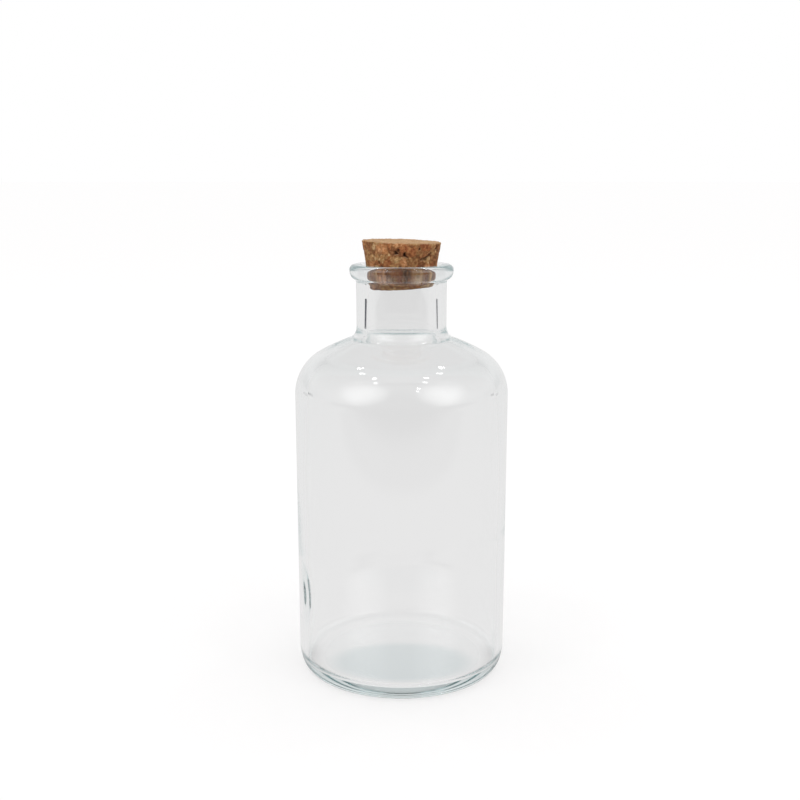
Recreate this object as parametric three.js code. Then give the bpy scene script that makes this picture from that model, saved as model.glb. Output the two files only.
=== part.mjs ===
// A clear glass bottle with a tapered cork pushed into its mouth. Millimetres, +Z up,
// the bottle standing on z = 0 with its axis on the Z axis.
import * as THREE from "three";

// Body
const BODY_DIAMETER = 80;
const BODY_STRAIGHT = 99; // straight wall between the heel and the shoulder
const WALL = 3;
const SHOULDER_WALL = 4.5; // blown glass stays thicker there
const WALL_TAPER = 30; // length over which the wall thins below the shoulder
const HEEL_WIDTH = 4.5; // the heel is a quarter ellipse, taller than wide
const HEEL_HEIGHT = 9;

// Base
const FLOOR_HEIGHT = 4.8; // inside floor at the wall, above the table
const FLOOR_CROWN = 1.2; // how far the inside floor rises to its middle
const FLOOR_FILLET = 3; // between the inside wall and the floor
const PUSH_UP = 1.2; // how far the underside is pushed up in the middle
const STANDING_RING = 5; // width of the flat ring that the bottle stands on

// Shoulder: a tight arc off the wall, a nearly flat crown, and a hollow fillet into the neck
const SHOULDER_RADIUS = 17.7;
const SHOULDER_TURN = THREE.MathUtils.degToRad(61); // where the tight arc becomes the crown
const CROWN_RADIUS = 76;
const NECK_FILLET = 4.8;

// Neck and lip
const NECK_DIAMETER = 33.5;
const NECK_LENGTH = 17.4; // straight neck, from its fillet to the underside of the lip
const LIP_DIAMETER = 38.5;
const LIP_UNDER_HEIGHT = 3.65; // the underside of the lip is a quarter ellipse
const LIP_TOP_ROUND = 1.95;
const MOUTH_DIAMETER = 26.3; // where the cork seats, just inside the lip
const MOUTH_ROUND = 2;
const BORE_DIAMETER = 25.8; // narrowest place of the bore, below the cork
const BORE_DEPTH = 11.5; // of that place below the top of the lip
const NECK_WALL = 3.35; // at the foot of the neck, where the bore is wider
const BORE_FILLET = 5; // from the bore into the shoulder
const BORE_FILLET_DROP = 2; // its centre lies lower than that of the fillet outside
const INNER_CROWN_RADIUS = 120;

// Cork: a cone that seats on the mouth, so its diameters follow from the mouth
const CORK_CLEARANCE = 0.3;
const CORK_TAPER = THREE.MathUtils.degToRad(9.3); // half angle
const CORK_PROUD = 8.9; // stands this far above the lip
const CORK_INSERT = 9; // reaches this far below the lip
const CORK_EDGE_ROUND = 0.5;

// Mesh fineness
const CHORD_TOLERANCE = 0.05; // largest distance between a curve and its facets
const SEGMENTS = 64;

// Heights and radii that follow from the sizes above
const bodyRadius = BODY_DIAMETER / 2;
const neckRadius = NECK_DIAMETER / 2;
const lipRadius = LIP_DIAMETER / 2;
const mouthRadius = MOUTH_DIAMETER / 2;
const innerRadius = bodyRadius - WALL;
const shoulderHeight = HEEL_HEIGHT + BODY_STRAIGHT;
const shoulderCentre = new THREE.Vector2(bodyRadius - SHOULDER_RADIUS, shoulderHeight);

// The crown touches the shoulder arc where that arc ends, so its centre lies on the same ray.
const crownCentre = new THREE.Vector2(
  shoulderCentre.x + (SHOULDER_RADIUS - CROWN_RADIUS) * Math.cos(SHOULDER_TURN),
  shoulderCentre.y + (SHOULDER_RADIUS - CROWN_RADIUS) * Math.sin(SHOULDER_TURN),
);

// The fillet between crown and neck touches the crown from outside and the neck's wall, which
// fixes its centre and the angle at which the crown ends.
const filletReach = CROWN_RADIUS + NECK_FILLET;
const filletOut = neckRadius + NECK_FILLET - crownCentre.x;
const crownEnd = Math.acos(filletOut / filletReach);
const filletCentre = new THREE.Vector2(
  neckRadius + NECK_FILLET,
  crownCentre.y + filletReach * Math.sin(crownEnd),
);

const neckStart = filletCentre.y;
const lipStart = neckStart + NECK_LENGTH;
const lipTop = lipStart + LIP_UNDER_HEIGHT + LIP_TOP_ROUND;
const mouthHeight = lipTop - MOUTH_ROUND;
const narrowest = new THREE.Vector2(BORE_DIAMETER / 2, lipTop - BORE_DEPTH);

// Points along part of an ellipse in the (radius, height) plane, close enough to keep the tolerance.
function arc(centre, radiusAcross, radiusUp, from, to) {
  const largest = Math.max(radiusAcross, radiusUp);
  const step = 2 * Math.acos(1 - CHORD_TOLERANCE / largest);
  const count = Math.max(2, Math.ceil(Math.abs(to - from) / step));
  const points = [];
  for (let i = 0; i <= count; i += 1) {
    const angle = from + ((to - from) * i) / count;
    const radius = centre.x + radiusAcross * Math.cos(angle);
    const height = centre.y + radiusUp * Math.sin(angle);
    points.push(new THREE.Vector2(radius, height));
  }
  return points;
}

// A shallow dome from the axis to its rim, or from the rim to the axis when inward is set.
function dome(rimRadius, rimHeight, rise, inward) {
  const radius = (rimRadius * rimRadius + rise * rise) / (2 * rise);
  const centre = new THREE.Vector2(0, rimHeight + rise - radius);
  const rimAngle = Math.asin((radius - rise) / radius);
  const points = arc(centre, radius, radius, Math.PI / 2, rimAngle);
  points[0].x = 0;
  return inward ? points.reverse() : points;
}

// Neighbouring curves share an end point; the second copy is left out.
function joined(curves) {
  const points = [];
  for (const point of curves.flat()) {
    const last = points[points.length - 1];
    if (last === undefined || last.distanceTo(point) > 0.01) {
      points.push(point);
    }
  }
  return points;
}

// Turns a profile, listed from the lower end of the axis round the outside, into a solid about Z.
function revolve(profile) {
  const geometry = new THREE.LatheGeometry(profile, SEGMENTS);
  geometry.rotateX(Math.PI / 2);
  return geometry;
}

function underside() {
  const ringOuter = bodyRadius - HEEL_WIDTH;
  const heelCentre = new THREE.Vector2(ringOuter, HEEL_HEIGHT);
  return [
    dome(ringOuter - STANDING_RING, 0, PUSH_UP, false),
    arc(heelCentre, HEEL_WIDTH, HEEL_HEIGHT, -Math.PI / 2, 0),
  ];
}

function outerShoulder() {
  return [
    arc(shoulderCentre, SHOULDER_RADIUS, SHOULDER_RADIUS, 0, SHOULDER_TURN),
    arc(crownCentre, CROWN_RADIUS, CROWN_RADIUS, SHOULDER_TURN, crownEnd),
    arc(filletCentre, NECK_FILLET, NECK_FILLET, Math.PI + crownEnd, Math.PI),
  ];
}

function lip() {
  const underCentre = new THREE.Vector2(neckRadius, lipStart + LIP_UNDER_HEIGHT);
  const underWidth = lipRadius - neckRadius;
  const topCentre = new THREE.Vector2(lipRadius - LIP_TOP_ROUND, lipTop - LIP_TOP_ROUND);
  const mouthCentre = new THREE.Vector2(mouthRadius + MOUTH_ROUND, mouthHeight);
  return [
    arc(underCentre, underWidth, LIP_UNDER_HEIGHT, -Math.PI / 2, 0),
    arc(topCentre, LIP_TOP_ROUND, LIP_TOP_ROUND, 0, Math.PI / 2),
    arc(mouthCentre, MOUTH_ROUND, MOUTH_ROUND, Math.PI / 2, Math.PI),
    [narrowest],
  ];
}

// Inside, the shoulder arc has the same centre as outside, the bore ends in a fillet of its own, and
// a flatter crown touches both. The law of cosines gives the angle at which it leaves the shoulder.
// Below the shoulder the wall thins.
function innerShoulder() {
  const shoulder = SHOULDER_RADIUS - SHOULDER_WALL;
  const fillet = new THREE.Vector2(neckRadius - NECK_WALL + BORE_FILLET, neckStart - BORE_FILLET_DROP);
  const toShoulder = INNER_CROWN_RADIUS - shoulder;
  const toFillet = INNER_CROWN_RADIUS + BORE_FILLET;
  const between = fillet.clone().sub(shoulderCentre);
  const cosine =
    (toShoulder * toShoulder + between.lengthSq() - toFillet * toFillet) / (2 * toShoulder * between.length());
  const turn = between.angle() + Math.acos(cosine) - Math.PI;
  const centre = new THREE.Vector2(
    shoulderCentre.x - toShoulder * Math.cos(turn),
    shoulderCentre.y - toShoulder * Math.sin(turn),
  );
  const end = fillet.clone().sub(centre).angle();
  return [
    arc(fillet, BORE_FILLET, BORE_FILLET, Math.PI, Math.PI + end),
    arc(centre, INNER_CROWN_RADIUS, INNER_CROWN_RADIUS, end, turn),
    arc(shoulderCentre, shoulder, shoulder, turn, 0),
    [new THREE.Vector2(innerRadius, shoulderHeight - WALL_TAPER)],
  ];
}

function innerFloor() {
  const cornerCentre = new THREE.Vector2(innerRadius - FLOOR_FILLET, FLOOR_HEIGHT + FLOOR_FILLET);
  return [
    arc(cornerCentre, FLOOR_FILLET, FLOOR_FILLET, 0, -Math.PI / 2),
    dome(cornerCentre.x, FLOOR_HEIGHT, FLOOR_CROWN, true),
  ];
}

function glassProfile() {
  return joined([...underside(), ...outerShoulder(), ...lip(), ...innerShoulder(), ...innerFloor()]);
}

// The cork's own height zero is its lower face.
function corkProfile() {
  const length = CORK_PROUD + CORK_INSERT;
  const seatHeight = mouthHeight - (lipTop - CORK_INSERT);
  const slope = Math.tan(CORK_TAPER);
  const lowerRadius = mouthRadius - CORK_CLEARANCE - seatHeight * slope;
  const upperRadius = lowerRadius + length * slope;
  const lowerTangent = CORK_EDGE_ROUND * Math.tan(Math.PI / 4 - CORK_TAPER / 2);
  const upperTangent = CORK_EDGE_ROUND * Math.tan(Math.PI / 4 + CORK_TAPER / 2);
  const lowerCentre = new THREE.Vector2(lowerRadius - lowerTangent, CORK_EDGE_ROUND);
  const upperCentre = new THREE.Vector2(upperRadius - upperTangent, length - CORK_EDGE_ROUND);
  return joined([
    [new THREE.Vector2(0, 0)],
    arc(lowerCentre, CORK_EDGE_ROUND, CORK_EDGE_ROUND, -Math.PI / 2, -CORK_TAPER),
    arc(upperCentre, CORK_EDGE_ROUND, CORK_EDGE_ROUND, -CORK_TAPER, Math.PI / 2),
    [new THREE.Vector2(0, length)],
  ]);
}

const clearGlass = new THREE.MeshStandardMaterial({
  color: 0xdfe8e7,
  roughness: 0.04,
  metalness: 0,
  transparent: true,
  opacity: 0.35,
});
const corkGranules = new THREE.MeshStandardMaterial({ color: 0xb98a5e, roughness: 0.9, metalness: 0 });

const glassBottle = new THREE.Mesh(revolve(glassProfile()), clearGlass);
glassBottle.name = "glass_bottle";

const corkStopper = new THREE.Mesh(revolve(corkProfile()), corkGranules);
corkStopper.name = "cork_stopper";
corkStopper.position.z = lipTop - CORK_INSERT;

const group = new THREE.Group();
group.name = "corked_bottle";
group.add(glassBottle, corkStopper);

export default group;
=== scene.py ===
# %% [markdown]
# # A corked glass bottle
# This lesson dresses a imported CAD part: a round bottle of clear glass with a tapered cork in its
# mouth. The CAD part gives the frame, in metres, with the bottle standing on z = 0 and its axis on
# the Z axis. Here both pieces are made again with finer shapes and real materials, and then lit and
# photographed on a white floor.

import math

import bmesh
import bpy
from mathutils import Matrix, Vector, noise


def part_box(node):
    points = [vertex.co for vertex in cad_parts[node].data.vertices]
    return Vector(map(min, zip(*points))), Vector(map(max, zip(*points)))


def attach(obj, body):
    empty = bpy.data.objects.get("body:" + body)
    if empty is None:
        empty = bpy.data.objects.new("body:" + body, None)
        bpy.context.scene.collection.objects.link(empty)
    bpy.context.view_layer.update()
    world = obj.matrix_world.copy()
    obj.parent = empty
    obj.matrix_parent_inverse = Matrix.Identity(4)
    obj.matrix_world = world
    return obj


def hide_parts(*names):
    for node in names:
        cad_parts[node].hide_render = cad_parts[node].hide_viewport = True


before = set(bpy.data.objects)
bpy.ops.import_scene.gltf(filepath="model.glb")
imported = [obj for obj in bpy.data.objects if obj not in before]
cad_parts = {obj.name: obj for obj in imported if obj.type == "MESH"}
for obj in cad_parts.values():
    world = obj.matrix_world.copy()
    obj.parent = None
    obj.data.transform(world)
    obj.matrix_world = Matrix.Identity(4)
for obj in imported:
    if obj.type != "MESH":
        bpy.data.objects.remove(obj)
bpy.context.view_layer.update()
MM = 0.001  # sizes below are written in millimetres and become metres at the end
scene = bpy.context.scene

# %% [markdown]
# ## Drawing a profile
# A bottle and a cork are both turned shapes: one outline carried round an axis. The outline could be
# typed as a table of points, but then no size could be read from it. Here it is drawn the way a
# drafter does it, with a pen that runs along straight lines and swings round arc centres. A line is
# an extruded vertex and an arc is a spun vertex, so bmesh does the geometry.


# %% A pen for profiles
def put_pen(sketch, radius, height):
    return bmesh.ops.create_vert(sketch, co=(radius, 0, height))["vert"][0]


def line_to(sketch, pen, radius, height, spacing=1.5):
    """Draws a straight line in the radius-height plane, in short steps."""
    start, end = pen.co.copy(), Vector((radius, 0, height))
    steps = max(1, round((end - start).length / spacing))
    for step in range(1, steps + 1):
        pen = bmesh.ops.extrude_vert_indiv(sketch, verts=[pen])["verts"][0]
        pen.co = start.lerp(end, step / steps)
    return pen


def swing(sketch, pen, centre, degrees, spacing=0.6, stretch=1.0):
    """Swings the pen round a centre, anticlockwise for positive degrees. A stretch above 1 makes the
    arc taller than it is wide, measured from where it starts."""
    start = pen.co.copy()
    reach = math.hypot(start.x - centre[0], start.z - centre[1])
    steps = max(3, int(reach * math.radians(abs(degrees)) / spacing))
    before = set(sketch.verts)
    made = bmesh.ops.spin(
        sketch, geom=[pen], cent=(centre[0], 0, centre[1]), axis=(0, -1, 0),
        angle=math.radians(degrees), steps=steps, use_merge=False)
    if stretch != 1.0:
        drawn = [v for v in sketch.verts if v not in before]
        pivot = Matrix.Translation((0, 0, -start.z))
        bmesh.ops.scale(sketch, vec=(1, 1, stretch), space=pivot, verts=drawn)
    return [v for v in made["geom_last"] if isinstance(v, bmesh.types.BMVert)][0]


def soften(sketch, points, rounds, up=False):
    """Evens out a stretch of the outline, sideways only or also up and down."""
    for _ in range(rounds):
        bmesh.ops.smooth_vert(sketch, verts=points, factor=0.5, use_axis_x=True, use_axis_z=up)


# %% From an outline to an object
def turn_about_z(sketch, steps):
    """Carries the finished outline once round the Z axis and closes the seam and the poles."""
    bmesh.ops.spin(
        sketch, geom=sketch.verts[:] + sketch.edges[:], cent=(0, 0, 0), axis=(0, 0, 1),
        angle=math.tau, steps=steps, use_merge=True)
    bmesh.ops.remove_doubles(sketch, verts=sketch.verts[:], dist=0.0005)
    bmesh.ops.recalc_face_normals(sketch, faces=sketch.faces[:])


def make_object(sketch, name):
    """Makes an object from a finished sketch and puts it in the scene."""
    mesh = bpy.data.meshes.new(name)
    sketch.to_mesh(mesh)
    sketch.free()
    made = bpy.data.objects.new(name, mesh)
    scene.collection.objects.link(made)
    return made


def finish_piece(sketch, name):
    """Turns millimetres to metres and makes the object, smooth shaded, at the origin."""
    bmesh.ops.scale(sketch, vec=(MM, MM, MM), verts=sketch.verts[:])
    for face in sketch.faces:
        face.smooth = True
    piece = make_object(sketch, name)
    print(name, len(piece.data.vertices), "vertices,", len(piece.data.polygons), "faces")
    return piece


# %% [markdown]
# ## The bottle's sizes
# These are the sizes of the CAD part, in millimetres. The shoulder is three arcs that touch each
# other: a tight one off the wall, a nearly flat crown, and a hollow fillet into the neck. Where two
# arcs touch, their centres and the touching point lie on one line, and that gives every centre below.

# %% Sizes of the glass
BODY_RADIUS, WALL, SHOULDER_WALL, WALL_TAPER = 40.0, 3.0, 4.5, 30.0
HEEL_WIDTH, HEEL_HEIGHT = 4.5, 9.0
RING_WIDTH, PUSH_UP = 5.0, 1.2
FLOOR_HEIGHT, FLOOR_CROWN, FLOOR_FILLET = 4.8, 1.2, 3.0
SHOULDER_START, SHOULDER_ARC, SHOULDER_TURN = 108.0, 17.7, 61.0
CROWN_ARC, NECK_FILLET, NECK_RADIUS, NECK_LENGTH = 76.0, 4.8, 16.75, 17.4
LIP_RADIUS, LIP_UNDER, LIP_ROUND = 19.25, 3.65, 1.95
MOUTH_RADIUS, MOUTH_ROUND = 13.15, 2.0
BORE_RADIUS, BORE_DEPTH, NECK_WALL = 12.9, 11.5, 3.35
BORE_FILLET, BORE_DROP, INNER_CROWN = 5.0, 2.0, 120.0

shoulder_centre = Vector((BODY_RADIUS - SHOULDER_ARC, SHOULDER_START))
turn_way = Vector((math.cos(math.radians(SHOULDER_TURN)), math.sin(math.radians(SHOULDER_TURN))))
crown_centre = shoulder_centre + (SHOULDER_ARC - CROWN_ARC) * turn_way
fillet_out = NECK_RADIUS + NECK_FILLET - crown_centre.x
fillet_reach = CROWN_ARC + NECK_FILLET
neck_start = crown_centre.y + math.sqrt(fillet_reach**2 - fillet_out**2)
fillet_centre = Vector((NECK_RADIUS + NECK_FILLET, neck_start))
crown_end = math.degrees(math.acos(fillet_out / fillet_reach))
lip_start = neck_start + NECK_LENGTH
lip_top = lip_start + LIP_UNDER + LIP_ROUND
cad_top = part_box("glass_bottle")[1].z / MM
print(f"neck starts at {neck_start:.2f} mm, lip top {lip_top:.2f} mm, in the CAD {cad_top:.2f} mm")

# %% [markdown]
# ## The bottle's outline
# The pen starts under the middle of the base, goes round the outside up to the lip, over the lip into
# the mouth, and down the inside to the floor. The outside took the shape of the mould and is true.
# The inside was formed by air alone, so its points are marked here to be made uneven later.


# %% Outside of the glass
def dome_centre(rim_radius, rim_height, rise):
    reach = (rim_radius**2 + rise**2) / (2 * rise)
    return (0.0, rim_height + rise - reach), math.degrees(math.asin(rim_radius / reach))


FINE_BELOW_LIP = 2.0  # the outline is drawn finely from this far below the lip
HOLLOW_BELOW, HOLLOW_OUT = 1.5, 1.4  # reach of the soft hollow under the lip, down and outwards

glass = bmesh.new()
inside_mark = glass.verts.layers.int.new("inside")
ring_outer = BODY_RADIUS - HEEL_WIDTH
centre, sweep = dome_centre(ring_outer - RING_WIDTH, 0.0, PUSH_UP)
pen = put_pen(glass, 0.0, PUSH_UP)
pen = swing(glass, pen, centre, -sweep, spacing=2.0)
pen = line_to(glass, pen, ring_outer, 0.0)
pen = swing(
    glass, pen, (ring_outer, HEEL_WIDTH), 90, spacing=0.35, stretch=HEEL_HEIGHT / HEEL_WIDTH)
pen = line_to(glass, pen, BODY_RADIUS, SHOULDER_START, spacing=12.0)
pen = swing(glass, pen, shoulder_centre, SHOULDER_TURN)
pen = swing(glass, pen, crown_centre, crown_end - SHOULDER_TURN)
pen = swing(glass, pen, fillet_centre, -crown_end, spacing=0.4)
pen = line_to(glass, pen, NECK_RADIUS, lip_start - FINE_BELOW_LIP)
below_lip = set(glass.verts)
pen = line_to(glass, pen, NECK_RADIUS, lip_start, spacing=0.2)
overhang = LIP_RADIUS - NECK_RADIUS
pen = swing(
    glass, pen, (NECK_RADIUS, lip_start + overhang), 90, spacing=0.15, stretch=LIP_UNDER / overhang)
hollow = [
    v for v in glass.verts if v not in below_lip
    and v.co.z > lip_start - HOLLOW_BELOW and v.co.x < NECK_RADIUS + HOLLOW_OUT]
soften(glass, hollow, 24, up=True)
pen = swing(glass, pen, (LIP_RADIUS - LIP_ROUND, lip_top - LIP_ROUND), 90, spacing=0.25)
pen = line_to(glass, pen, MOUTH_RADIUS + MOUTH_ROUND, lip_top, spacing=0.5)
outside = set(glass.verts)
print("outside drawn with", len(outside), "points")

# %% [markdown]
# ## The inner skin
# The inside is not the outside moved inwards. It has arcs of its own: a fillet at the foot of the
# bore and a flatter crown that touches both this fillet and the shoulder's arc. The law of cosines
# gives the angle at which the crown leaves the shoulder. Below the shoulder the wall thins.

# %% Inside of the glass
inner_arc, bore_foot = SHOULDER_ARC - SHOULDER_WALL, NECK_RADIUS - NECK_WALL
inner_fillet = Vector((bore_foot + BORE_FILLET, neck_start - BORE_DROP))
to_shoulder, to_fillet = INNER_CROWN - inner_arc, INNER_CROWN + BORE_FILLET
between = inner_fillet - shoulder_centre
cosine = to_shoulder**2 + between.length_squared - to_fillet**2
cosine /= 2 * to_shoulder * between.length
inner_turn = math.atan2(between.y, between.x) + math.acos(cosine) - math.pi
inner_way = Vector((math.cos(inner_turn), math.sin(inner_turn)))
inner_centre = shoulder_centre - to_shoulder * inner_way
inner_end = math.degrees(math.atan2(
    inner_fillet.y - inner_centre.y, inner_fillet.x - inner_centre.x))
inner_turn = math.degrees(inner_turn)
pen = swing(glass, pen, (MOUTH_RADIUS + MOUTH_ROUND, lip_top - MOUTH_ROUND), 90, spacing=0.25)
seat = set(glass.verts)
pen = line_to(glass, pen, BORE_RADIUS, lip_top - BORE_DEPTH, spacing=0.8)
pen = line_to(glass, pen, bore_foot, inner_fillet.y, spacing=0.8)
soften(glass, [v for v in glass.verts if v not in seat and v is not pen], 25)
pen = swing(glass, pen, inner_fillet, inner_end, spacing=0.4)
pen = swing(glass, pen, inner_centre, inner_turn - inner_end)
pen = swing(glass, pen, shoulder_centre, -inner_turn)
above_taper = set(glass.verts)
pen = line_to(glass, pen, BODY_RADIUS - WALL, SHOULDER_START - WALL_TAPER)
pen = line_to(glass, pen, BODY_RADIUS - WALL, FLOOR_HEIGHT + FLOOR_FILLET)
soften(glass, [v for v in glass.verts if v not in above_taper and v is not pen], 60)
corner = BODY_RADIUS - WALL - FLOOR_FILLET
pen = swing(glass, pen, (corner, FLOOR_HEIGHT + FLOOR_FILLET), -90, spacing=0.3)
centre, sweep = dome_centre(corner, FLOOR_HEIGHT, FLOOR_CROWN)
pen = swing(glass, pen, centre, sweep, spacing=1.5)
pen.co.x = 0.0
for vert in glass.verts:
    vert[inside_mark] = int(vert not in outside)
print("whole outline has", len(glass.verts), "points")

# %% [markdown]
# ## Turning the glass, and its uneven inside
# Carried round the axis the outline is one closed skin, open only at the mouth. Blown glass is never
# equally thick: it runs a little in the mould, so the inner wall waves by a few tenths of a
# millimetre and has a settle wave, a slanting band where the first glass met the mould. Low on the
# left it has one thick place, about a millimetre deep. Clear glass shows such faults as faint streaks
# and strips, and without them it looks like plastic.

# %% Turn the outline and let the inside wander
GLASS_STEPS = 256
TRUE_BELOW_LIP = 4.0  # mm, the mouth stays true because the cork seats there
WAVE, WAVE_WIDE, WAVE_TALL = 0.25, 38, 60  # mm, depth, width and height of the waves
WAVE_TOP, WAVE_FADE = 95.0, 25.0  # mm, the waves end at this height and fade over this length
SETTLE_HEIGHT, SETTLE_DEPTH, SETTLE_WIDTH = 48.4, 0.10, 2.2  # mm
SETTLE_SLANT_X, SETTLE_SLANT_Y = 0.10, 0.17
THICK_X, THICK_Y, THICK_Z = -35.7, -9.8, 31.5  # mm, middle of the thick place
THICK_DEPTH, THICK_WIDTH, THICK_FLAT = 1.1, 4.9, 0.60
FLOOR_BELOW, FLOOR_SHARE = 9.0, 0.8  # under this height the points move up and down, and less

turn_about_z(glass, GLASS_STEPS)
wandered = 0
for vert in glass.verts:
    if not vert[inside_mark] or vert.co.z > lip_top - TRUE_BELOW_LIP:
        continue
    x, y, z = vert.co
    wave = noise.noise(Vector((x / WAVE_WIDE, y / WAVE_WIDE, z / WAVE_TALL)))
    drift = WAVE * wave * min(1.0, max(0.0, (WAVE_TOP - z) / WAVE_FADE))
    settle = z - SETTLE_HEIGHT - SETTLE_SLANT_X * x + SETTLE_SLANT_Y * y
    drift -= SETTLE_DEPTH * math.exp(-((settle / SETTLE_WIDTH) ** 2))
    thick = Vector((x - THICK_X, y - THICK_Y, (z - THICK_Z) * THICK_FLAT)).length
    drift -= THICK_DEPTH * math.exp(-((thick / THICK_WIDTH) ** 2))
    radial = Vector((x, y, 0))
    if z < FLOOR_BELOW:
        vert.co.z += FLOOR_SHARE * drift
    elif radial.length > 0.5:
        vert.co += radial.normalized() * drift
    wandered += 1
print("moved", wandered, "points of the inside")
glass_bottle = finish_piece(glass, "bottle_glass")
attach(glass_bottle, "bottle")
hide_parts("glass_bottle")

# %% [markdown]
# ## Clear soda-lime glass
# Bottle glass is melted from sand, soda and lime. It bends light with an index of 1.52 and takes a
# fire-polished skin, so its roughness is next to nothing. A trace of iron colours it blue-green, but
# only where light travels a long way through it, as in the base and the lip. So the surface is left
# colourless and the tint is put in the volume, where depth makes it stronger by itself.


# %% Colours and nodes
def linear(hex_colour):
    """An sRGB hex colour as the linear colour that shaders work in."""
    channels = [int(hex_colour[i : i + 2], 16) / 255 for i in (1, 3, 5)]
    return [c / 12.92 if c <= 0.04045 else ((c + 0.055) / 1.055) ** 2.4 for c in channels] + [1.0]


def node(tree, kind, inputs=None, **settings):
    """Adds a node, with its settings, and for each input a value or the socket that feeds it."""
    made = tree.nodes.new(kind)
    for name, value in settings.items():
        setattr(made, name, value)
    for key, value in (inputs or {}).items():
        if isinstance(value, bpy.types.NodeSocket):
            tree.links.new(value, made.inputs[key])
        else:
            made.inputs[key].default_value = value
    return made


def maths(tree, operation, *values):
    """The result of one operation on one, two or three values."""
    return node(tree, "ShaderNodeMath", dict(enumerate(values)), operation=operation).outputs[0]


def ranged(tree, value, start, end, low, high, **settings):
    """Goes from low to high as the value goes from start to end, and stays there outside them."""
    return node(tree, "ShaderNodeMapRange", {
        "Value": value, "From Min": start, "From Max": end, "To Min": low, "To Max": high},
        **settings).outputs["Result"]


def mix_colours(tree, share, first, second, **settings):
    """The first colour at share 0, the second at share 1. A mix node has its colours at 6 and 7."""
    inputs = {"Factor": share, 6: first, 7: second}
    return node(tree, "ShaderNodeMix", inputs, data_type="RGBA", **settings).outputs[2]


def mix_values(tree, share, first, second):
    """The first value at share 0, the second at share 1. A mix node has its values at 2 and 3."""
    inputs = {"Factor": share, 2: first, 3: second}
    return node(tree, "ShaderNodeMix", inputs, data_type="FLOAT").outputs[0]


def new_material(name):
    material = bpy.data.materials.new(name)
    material.use_nodes = True
    material.node_tree.nodes.clear()
    return material, material.node_tree


# %% The glass material
clear_glass, tree = new_material("soda_lime_glass_fire_polished")
surface = node(tree, "ShaderNodeBsdfPrincipled", {
    "Base Color": linear("#ffffff"), "Roughness": 0.0, "IOR": 1.52, "Transmission Weight": 1.0})
tint = node(tree, "ShaderNodeVolumeAbsorption", {"Color": linear("#bcd2d3"), "Density": 8.0})
node(tree, "ShaderNodeOutputMaterial", {
    "Surface": surface.outputs["BSDF"], "Volume": tint.outputs["Volume"]})
glass_bottle.data.materials.append(clear_glass)
print("glass: index", surface.inputs["IOR"].default_value)

# %% [markdown]
# ## The cork
# The stopper is agglomerated cork: bark granules of two to four millimetres, pressed with a binder
# and ground to a taper. It is turned like the bottle, but with a fine mesh, because its surface is
# the point: each granule stands a little proud or low, there is a furrow where two meet, and here and
# there one has broken out.

# %% Turn the cork
CORK_BOTTOM, CORK_TOP = (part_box("cork_stopper")[i].z / MM for i in (0, 1))
CORK_TAPER = math.tan(math.radians(9.3))
CORK_CLEARANCE, CORK_EDGE, CORK_TOP_IN = 0.3, 0.35, 0.05
CORK_STEPS = 320
SEAT_HEIGHT, SEAT_RADIUS = lip_top - MOUTH_ROUND, MOUTH_RADIUS - CORK_CLEARANCE
low_radius = SEAT_RADIUS - (SEAT_HEIGHT - CORK_BOTTOM) * CORK_TAPER
top_radius = low_radius + (CORK_TOP - CORK_BOTTOM) * CORK_TAPER
cork = bmesh.new()
pen = put_pen(cork, 0.0, CORK_BOTTOM)
pen = line_to(cork, pen, low_radius - CORK_EDGE, CORK_BOTTOM, spacing=0.35)
pen = line_to(cork, pen, low_radius, CORK_BOTTOM + CORK_EDGE, spacing=0.3)
pen = line_to(cork, pen, top_radius - CORK_TOP_IN, CORK_TOP - CORK_EDGE, spacing=0.28)
pen = line_to(cork, pen, top_radius - CORK_EDGE, CORK_TOP, spacing=0.3)
pen = line_to(cork, pen, 0.0, CORK_TOP, spacing=0.3)
turn_about_z(cork, CORK_STEPS)
print(f"cork from {CORK_BOTTOM:.2f} to {CORK_TOP:.2f} mm")
print(f"its radius goes from {low_radius:.2f} to {top_radius:.2f} mm")

# %% [markdown]
# ## Granules, joints and holes
# A cell pattern in space gives the granules, and a finer one the chips that each granule broke from.
# The distances to the nearest cell centres tell where a joint runs and where three granules leave a
# gap, and the centre itself gives each granule its own tone. The same numbers move the surface and
# are kept on the points as a colour attribute, so colour and relief always agree. A few larger holes
# are placed one by one, as on the real cork.

# %% Place the holes
HOLES = [  # angle from the front in degrees, depth below the top, radius and depth, in mm
    (27, 2.0, 1.0, 1.0), (-9, 3.6, 1.0, 0.8), (-4, 2.9, 0.7, 0.6), (6, 4.6, 1.0, 0.9),
    (10, 5.6, 0.7, 0.6), (62, 1.2, 0.9, 0.7), (-38, 7.6, 0.8, 0.5), (140, 3.0, 1.2, 1.0),
    (-120, 5.5, 1.1, 0.9), (200, 7.0, 1.0, 0.7)]
hole_places = []
for angle, below, size, depth in HOLES:
    reach = top_radius - below * CORK_TAPER
    turn = math.radians(angle - 90)
    centre = Vector((reach * math.cos(turn), reach * math.sin(turn), CORK_TOP - below))
    hole_places.append((centre, size, depth))
print("placed", len(hole_places), "holes")


# %% Shape the granules
def own_value(centre, turn):
    """A number from 0 to 1 that belongs to one cell of a pattern."""
    return 0.5 + 0.5 * noise.cell(centre * 9.7 + Vector((turn, 2 * turn, 3 * turn)))


def fade(value, low, high):
    """0 below low, 1 above high, smooth between them."""
    t = min(1.0, max(0.0, (value - low) / (high - low)))
    return t * t * (3 - 2 * t)


GRANULE, CHIP, GRAIN = 3.2, 1.0, 0.5  # mm, middle sizes of the granules, chips and fibres
STEP, FURROW, CHIP_FURROW, GAP, ROUGH = 0.12, 0.22, 0.06, 0.45, 0.10  # mm, depths of the relief

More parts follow.
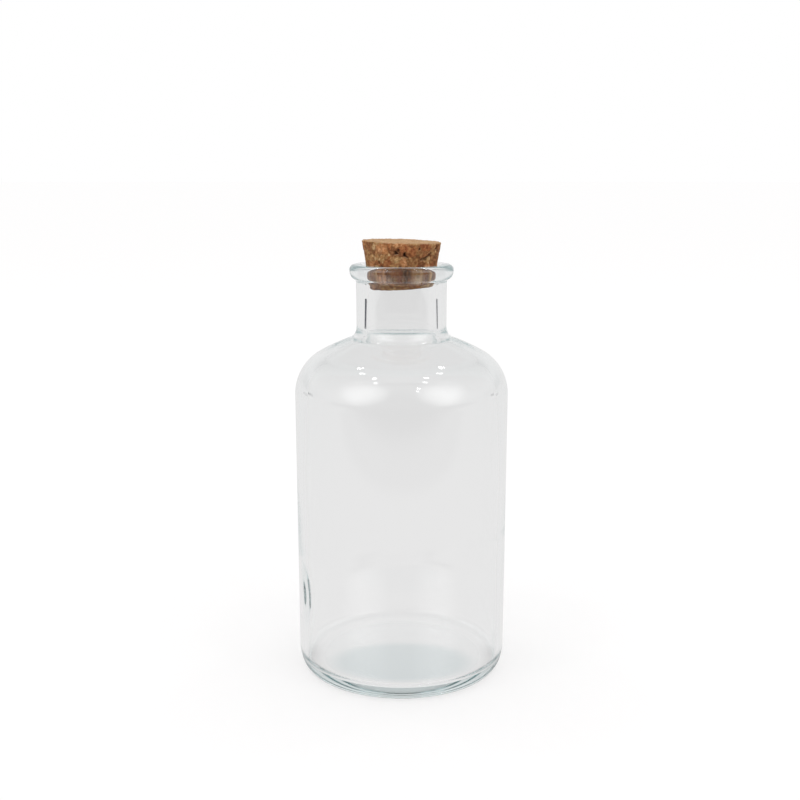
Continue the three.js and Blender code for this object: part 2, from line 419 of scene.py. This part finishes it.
noise.seed_set(11)  # without a seed the library takes the clock, and each run would differ
tones = cork.verts.layers.float_color.new("granule")
reds = cork.verts.layers.float.new("redness")
cork.normal_update()
moves = {}
for vert in cork.verts:
    place = vert.co.copy()
    warp = noise.noise_vector(place / 1.7) * 0.8
    ways, centres = noise.voronoi((place + warp) / GRANULE)
    chip_ways, chips = noise.voronoi((place - warp) / CHIP)
    fibre = noise.cell_vector(centres[0] * 9.7).normalized()
    grain = noise.noise((place - 0.8 * place.dot(fibre) * fibre) / GRAIN)
    tone = 0.45 * own_value(centres[0], 1) + 0.30 * own_value(chips[0], 2) + 0.125 + 0.22 * grain
    uneven = noise.fractal(place / 1.2, 0.8, 2.0, 4)
    joint = 1 - fade(ways[1] - ways[0], 0.02, 0.22)
    joint *= fade(noise.noise(place / 2.3), -0.35, 0.35)
    chip_joint = 1 - fade(chip_ways[1] - chip_ways[0], 0.02, 0.25)
    gap = 1 - fade(ways[2] - ways[0], 0.10, 0.30)
    gap *= fade(noise.noise(place / 3.1 + Vector((5, 3, 1))), 0.26, 0.46)
    hole = 0.0
    for where, size, depth in hole_places:
        near = (place + 1.1 * warp - where).length / size
        hole = max(hole, depth * (1 - fade(near, 0.35, 1.0)))
    low = STEP * own_value(centres[0], 3) + FURROW * joint + CHIP_FURROW * chip_joint
    low = low + GAP * gap + hole
    moves[vert] = -vert.normal * max(0.0, low - ROUGH * uneven)
    vert[tones] = (tone, max(joint, 0.45 * chip_joint), min(1.0, 0.6 * gap + 1.3 * hole), 1.0)
    vert[reds] = fade(own_value(centres[0], 4), 0.45, 0.75)
for vert, move in moves.items():
    vert.co += move
print("shaped", len(moves), "points of the cork")

# %% Cut the ends a little out of square
TOP_SLANT, LOW_SLANT = 0.030, 0.05  # rise over run, each end lower or higher towards +X
for vert in cork.verts:
    x, y, z = vert.co
    high = (z - CORK_BOTTOM) / (CORK_TOP - CORK_BOTTOM)
    vert.co.z -= TOP_SLANT * (x + top_radius) * max(0.0, high - 0.5) * 2
    vert.co.z += LOW_SLANT * (x + low_radius) * max(0.0, 0.5 - high) * 2
cork_stopper = finish_piece(cork, "cork")
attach(cork_stopper, "cork")
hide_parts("cork_stopper")

# %% [markdown]
# ## Agglomerated cork
# Cork is dead bark full of air, so it is matt and its colour sits in the granules: mostly warm brown,
# some tan, some reddish, with nearly black lenticel dust in the furrows and holes. The granule tone
# runs through a colour ramp, fine noise breaks it up, and the furrow value darkens the joints. Faces
# that point up are made paler than the side.

# %% The cork material
BROWNS = [
    (0.12, "#704529"), (0.32, "#8a5b3a"), (0.50, "#9d7249"), (0.68, "#b08a5c"), (0.88, "#cba980")]
SPECK, PORE = 1.1 * MM, 0.55 * MM  # sizes of the fine noise
pressed_cork, tree = new_material("agglomerated_cork_ground")
coords = node(tree, "ShaderNodeTexCoord")
granule = node(tree, "ShaderNodeAttribute", attribute_name="granule")
parts = node(tree, "ShaderNodeSeparateColor", {"Color": granule.outputs["Color"]})
ramp = node(tree, "ShaderNodeValToRGB", {"Fac": parts.outputs["Red"]})
for _ in BROWNS[2:]:
    ramp.color_ramp.elements.new(0.5)
for element, (place, colour) in zip(ramp.color_ramp.elements, BROWNS):
    element.position = place
    element.color = linear(colour)
specks = node(tree, "ShaderNodeTexNoise", {
    "Vector": coords.outputs["Object"], "Scale": 1 / SPECK, "Detail": 5.0, "Roughness": 0.7})
speck_tone = ranged(tree, specks.outputs["Fac"], 0.3, 0.7, 0.62, 1.38)
redness = node(tree, "ShaderNodeAttribute", attribute_name="redness").outputs["Fac"]
bark = mix_colours(
    tree, redness, ramp.outputs["Color"], linear("#ffe4dd"), blend_type="MULTIPLY")
flecked = mix_colours(tree, 1.0, bark, speck_tone, blend_type="MULTIPLY")
pores = node(tree, "ShaderNodeTexNoise", {
    "Vector": coords.outputs["Object"], "Scale": 1 / PORE, "Detail": 2.0})
in_pore = ranged(tree, pores.outputs["Fac"], 0.60, 0.72, 0.0, 0.7)
pored = mix_colours(tree, in_pore, flecked, linear("#5a3017"))
in_joint = maths(tree, "MULTIPLY", parts.outputs["Green"], 0.6)
jointed = mix_colours(tree, in_joint, pored, linear("#4b2912"))
facing = node(tree, "ShaderNodeNewGeometry")
upward = node(tree, "ShaderNodeSeparateXYZ", {"Vector": facing.outputs["True Normal"]})
# faces that point up are made paler
upward_paler = ranged(tree, upward.outputs["Z"], 0.4, 0.9, 0.0, 0.62)
ground = mix_colours(tree, upward_paler, jointed, linear("#c9a984"))
holed = mix_colours(tree, parts.outputs["Blue"], ground, linear("#34190a"))
relief = node(tree, "ShaderNodeBump", {
    "Height": specks.outputs["Fac"], "Strength": 0.6, "Distance": 0.3 * MM})
surface = node(tree, "ShaderNodeBsdfPrincipled", {
    "Base Color": holed, "Roughness": 0.88, "Specular IOR Level": 0.2,
    "Normal": relief.outputs["Normal"]})
node(tree, "ShaderNodeOutputMaterial", {"Surface": surface.outputs["BSDF"]})
cork_stopper.data.materials.append(pressed_cork)
print("cork material has", len(tree.nodes), "nodes")

# %% [markdown]
# ## Floor and surroundings
# The bottle stands on a white sheet in a bright room. Clear glass has hardly a look of its own: it
# shows the sheet behind it, a little darker for the skins that the light has crossed, and it mirrors
# the room. So this is a set for one picture, and floor and room answer the kinds of ray differently.
# Camera rays see white, with the shadow of the object. Rays that look for light on the cork and the
# floor find an even, soft light. Rays that glass bent or mirrored find the sheet a little less than
# white, and above it a dimmer room with two soft lights in front. Only mirrored rays find the front of
# the sheet and the camera's side of the room dark.


# %% Tell the rays apart
def view_through_glass(tree, path):
    """1 for a ray that the glass bent or mirrored on its way from the camera, and 0 for a ray that
    left the cork or the floor to find its light, even when glass lies on its way."""
    unspread = maths(tree, "LESS_THAN", path.outputs["Diffuse Depth"], 0.5)
    return maths(tree, "MULTIPLY", path.outputs["Is Glossy Ray"], unspread)


def mirrored_in_glass(tree, path):
    """1 for a ray that glass has mirrored at least once, and 0 for one that only passed through."""
    return maths(tree, "GREATER_THAN", path.outputs["Glossy Depth"], 0.5)


# %% Lay the floor
FLOOR_RADIUS = 30.0
sheet = bmesh.new()
bmesh.ops.create_circle(sheet, cap_ends=True, segments=96, radius=FLOOR_RADIUS)
floor = make_object(sheet, "floor")
print("floor reaches", FLOOR_RADIUS, "m")

# %% [markdown]
# ## The white sheet
# Three things are put on the sheet. Under the front of the base lies a painted shade, faintly
# blue-green, for the light that the thick base has weakened and coloured. A soft painted contact shade
# lies at the two ends of the heel, on the camera's side. And for mirrored rays the sheet gets dark
# towards the camera.

# %% What the sheet shows
SMOOTH = {"interpolation_type": "SMOOTHSTEP"}
SHEET_IN_GLASS, SHEET_FRONT = 0.82, 0.2  # brightness that glass shows
# where the painted shade under the base lies and how it is stretched
PAINTED_SHADE_SHIFT, PAINTED_SHADE_SHAPE = (0.0, 0.013, 0.0), (1.0, 1.5, 1.0)
CONTACT_RADIUS, CONTACT_WIDTH, CONTACT_LEVEL = 0.041, 0.014, 0.55
CAMERA_SHARE = 0.66  # part of the sheet's white that camera rays see without any shadow
white_sheet, tree = new_material("matt_white_sheet")
path = node(tree, "ShaderNodeLightPath")
spot = node(tree, "ShaderNodeTexCoord").outputs["Object"]
place = node(tree, "ShaderNodeSeparateXYZ", {"Vector": spot})
under = node(tree, "ShaderNodeMapping", {
    "Vector": spot, "Location": PAINTED_SHADE_SHIFT, "Scale": PAINTED_SHADE_SHAPE})
away = node(tree, "ShaderNodeVectorMath", {0: under.outputs[0]}, operation="LENGTH")
# painted shade: the sheet under the front of the base is drawn darker and faintly blue-green
painted_base_shade = ranged(tree, away.outputs["Value"], 0.021, 0.031, 1.0, 0.0, **SMOOTH)
tone = mix_colours(tree, painted_base_shade, linear("#fffefe"), linear("#e8eeef"))
sheet_level = ranged(
    tree, place.outputs["Y"], -0.60, -0.33, SHEET_FRONT, SHEET_IN_GLASS, **SMOOTH)
sheet_here = mix_values(tree, mirrored_in_glass(tree, path), SHEET_IN_GLASS, sheet_level)
from_axis = node(tree, "ShaderNodeVectorMath", {0: spot}, operation="LENGTH")
from_ring = maths(tree, "SUBTRACT", from_axis.outputs["Value"], CONTACT_RADIUS)
ring_way = maths(tree, "ABSOLUTE", from_ring)
contact = ranged(tree, ring_way, 0.0, CONTACT_WIDTH, CONTACT_LEVEL, 1.0, **SMOOTH)
sideways = maths(tree, "ABSOLUTE", place.outputs["X"])
at_side = ranged(tree, sideways, 0.020, 0.036, 0.0, 1.0)
at_front = ranged(tree, place.outputs["Y"], -0.002, 0.010, 1.0, 0.0)
at_ends = maths(tree, "MULTIPLY", at_side, at_front)
contact_here = mix_values(tree, at_ends, 1.0, contact)
in_glass = maths(tree, "MULTIPLY", contact_here, sheet_here)
through_glass = view_through_glass(tree, path)
level = mix_values(tree, through_glass, 1.0, in_glass)
matt = node(tree, "ShaderNodeBsdfDiffuse", {"Color": linear("#fdfdfd")})
shown = node(tree, "ShaderNodeEmission", {"Color": tone, "Strength": level})
camera_share = maths(tree, "MULTIPLY", path.outputs["Is Camera Ray"], CAMERA_SHARE)
share = maths(tree, "ADD", through_glass, camera_share)
paper = node(tree, "ShaderNodeMixShader", {0: share, 1: matt.outputs[0], 2: shown.outputs[0]})
node(tree, "ShaderNodeOutputMaterial", {"Surface": paper.outputs[0]})
floor.data.materials.append(white_sheet)
print("sheet material has", len(tree.nodes), "nodes")

# %% [markdown]
# ## The room
# Height and bearing set how bright the room is: the wall behind is the brightest, the side walls are a
# little darker near the horizon, and the ceiling is dim. The two soft lights are round glows to the
# left and right of the camera.

# %% Build the room
SOFT_LIGHTS = ((-0.631, -0.593, 0.50), (0.666, -0.579, 0.47))  # directions
GLOW_EDGE, GLOW_LEVEL = 0.87, 1.75
HORIZON_IN_GLASS, CEILING_IN_GLASS = 0.84, 0.36  # brightness that glass shows
ROOM_LIGHT, GLOW_LIGHT = 0.92, 0.4  # brightness that lights the cork and the floor
world = bpy.data.worlds.new("bright_room")
scene.world = world
world.use_nodes = True
tree = world.node_tree
tree.nodes.clear()
path = node(tree, "ShaderNodeLightPath")
bearing = node(tree, "ShaderNodeTexCoord").outputs["Generated"]
glows = []
for way in SOFT_LIGHTS:
    towards = node(tree, "ShaderNodeVectorMath", {0: bearing, 1: way}, operation="DOT_PRODUCT")
    glows.append(ranged(tree, towards.outputs["Value"], GLOW_EDGE, 1.0, 0.0, GLOW_LEVEL))
both = maths(tree, "ADD", *glows)
looking = node(tree, "ShaderNodeSeparateXYZ", {"Vector": bearing})
back, up = looking.outputs["Y"], looking.outputs["Z"]
side_low = ranged(tree, up, 0.10, 0.17, 0.76, 0.82)
behind = ranged(tree, back, 0.84, 0.93, side_low, HORIZON_IN_GLASS)
walls = ranged(tree, up, 0.25, 0.90, behind, CEILING_IN_GLASS)
front = ranged(tree, back, -0.6, 0.2, 0.25, 0.0)
bright_walls = maths(tree, "ADD", front, walls)
camera_side = ranged(tree, back, -0.95, -0.55, 0.3, 1.0, **SMOOTH)
camera_side_here = mix_values(tree, mirrored_in_glass(tree, path), 1.0, camera_side)
walls_lit = maths(tree, "MULTIPLY", bright_walls, camera_side_here)
dim_room = maths(tree, "ADD", both, walls_lit)
soft_light = maths(tree, "MULTIPLY_ADD", both, GLOW_LIGHT, ROOM_LIGHT)
lit, mirrored, seen = (
    node(tree, "ShaderNodeBackground", {"Color": linear("#ffffff"), "Strength": strength}).outputs[0]
    for strength in (soft_light, dim_room, 1.0))
to_glass = node(tree, "ShaderNodeMixShader", {
    0: view_through_glass(tree, path), 1: lit, 2: mirrored})
shown = node(tree, "ShaderNodeMixShader", {
    0: path.outputs["Is Camera Ray"], 1: to_glass.outputs[0], 2: seen})
node(tree, "ShaderNodeOutputWorld", {"Surface": shown.outputs[0]})
print("room has", len(tree.nodes), "nodes")

# %% [markdown]
# ## Dark cards
# Clear glass on white nearly vanishes. Photographers stand dark cards beside it, out of the picture:
# the rim of the bore throws its light so far to the side that it finds them and draws a dark line down
# each side of the neck. Two low cards do that here. Only rays that glass has mirrored can see them.

# %% Stand the cards
CARDS = (("left", -58.0, 0.25), ("right", 59.0, 0.15))  # bearing from +Y in degrees, width in metres
CARD_TALL, CARD_AWAY, CARD_MIDDLE = 0.061, 1.3, 0.0645  # metres: height, distance, middle's height
card_dark, tree = new_material("matt_dark_card")
path = node(tree, "ShaderNodeLightPath")
matt = node(tree, "ShaderNodeBsdfDiffuse", {"Color": linear("#1c2230")})
unseen = node(tree, "ShaderNodeBsdfTransparent")
card_face = node(tree, "ShaderNodeMixShader", {
    0: mirrored_in_glass(tree, path), 1: unseen.outputs[0], 2: matt.outputs[0]})
node(tree, "ShaderNodeOutputMaterial", {"Surface": card_face.outputs[0]})
for side, degrees, width in CARDS:
    upright = Matrix.Rotation(math.radians(90), 3, "X")
    round_z = Matrix.Rotation(math.radians(-degrees), 3, "Z")
    sheet = bmesh.new()
    bmesh.ops.create_grid(sheet, x_segments=1, y_segments=1, size=0.5)
    bmesh.ops.scale(sheet, vec=(width, CARD_TALL, 1.0), verts=sheet.verts[:])
    bmesh.ops.rotate(sheet, matrix=upright, verts=sheet.verts[:])
    bmesh.ops.translate(sheet, vec=(0.0, CARD_AWAY, CARD_MIDDLE), verts=sheet.verts[:])
    bmesh.ops.rotate(sheet, matrix=round_z, verts=sheet.verts[:])
    card = make_object(sheet, f"card_{side}")
    card.data.materials.append(card_dark)
    card.visible_camera = card.visible_diffuse = card.visible_shadow = False
print("cards stand", CARD_AWAY, "m away, behind at both sides")

# %% [markdown]
# ## Light that stays in the glass
# Light that enters the lip, the neck or the heel can run on inside the wall, mirrored from skin to
# skin twenty to eighty times before it gets out. Blender stops a path after twelve steps, and what is
# left shows as black lines in the lip and the heel. So the paths may go on for longer here.

# %% Let light run on in the glass
LIGHT_STEPS = 128
scene.cycles.max_bounces = LIGHT_STEPS
scene.cycles.transmission_bounces = LIGHT_STEPS
scene.cycles.glossy_bounces = LIGHT_STEPS
print("a path may have", scene.cycles.max_bounces, "steps")

# %% [markdown]
# ## Ceiling lamps
# Five small lamps hang over the table. Glass mirrors a lamp twice, once on its outer and once on its
# inner skin, and that gives the pairs of bright dots on the shoulder. They are small discs that are
# bright enough to show, and they add nothing to the light on the cork and the floor.

# %% Hang the lamps
LAMP_PLACES = [
    (-0.70, 0.47, 1.70), (-0.66, -0.50, 1.72), (0.66, 0.50, 1.71), (0.59, -0.45, 1.76),
    (0.66, -1.60, 1.79)]
LAMP_SIZE, LAMP_POWER = 0.14, 0.9
LAMPS_AIM = Vector((0, 0, 0.12))
for number, place in enumerate(LAMP_PLACES):
    lamp = bpy.data.lights.new(f"ceiling_lamp_{number}", "AREA")
    lamp.shape = "DISK"
    lamp.size = LAMP_SIZE
    lamp.energy = LAMP_POWER
    lamp.diffuse_factor = 0.0
    hung = bpy.data.objects.new(lamp.name, lamp)
    hung.location = place
    aim = LAMPS_AIM - Vector(place)
    hung.rotation_euler = aim.to_track_quat("-Z", "Y").to_euler()
    scene.collection.objects.link(hung)
print("hung", len(LAMP_PLACES), "lamps")

# %% [markdown]
# ## Camera
# The camera's place, tilt and lens come from the outline of the bottle in the photograph: how fast the
# body narrows downwards gives the distance, and the flat ellipses of lip and base give the height.

# %% Set the camera
FOCAL_PIXELS, IMAGE_PIXELS, SENSOR = 1138.945, 800, 36.0
SHIFT_RIGHT, SHIFT_UP = -1.5, 40.0  # pixels
CAMERA_PLACE, TILT_DOWN = (0.0, -0.422981, 0.188253), 13.143
camera_data = bpy.data.cameras.new("camera")
camera_data.sensor_width = SENSOR
camera_data.lens = SENSOR * FOCAL_PIXELS / IMAGE_PIXELS
camera_data.shift_x = SHIFT_RIGHT / IMAGE_PIXELS
camera_data.shift_y = SHIFT_UP / IMAGE_PIXELS
camera_data.clip_start = 0.01
camera = bpy.data.objects.new("camera", camera_data)
camera.location = CAMERA_PLACE
camera.rotation_euler = (math.radians(90 - TILT_DOWN), 0.0, 0.0)
scene.collection.objects.link(camera)
scene.camera = camera
scene.view_settings.view_transform = "Standard"
print(f"lens {camera_data.lens:.2f} mm")
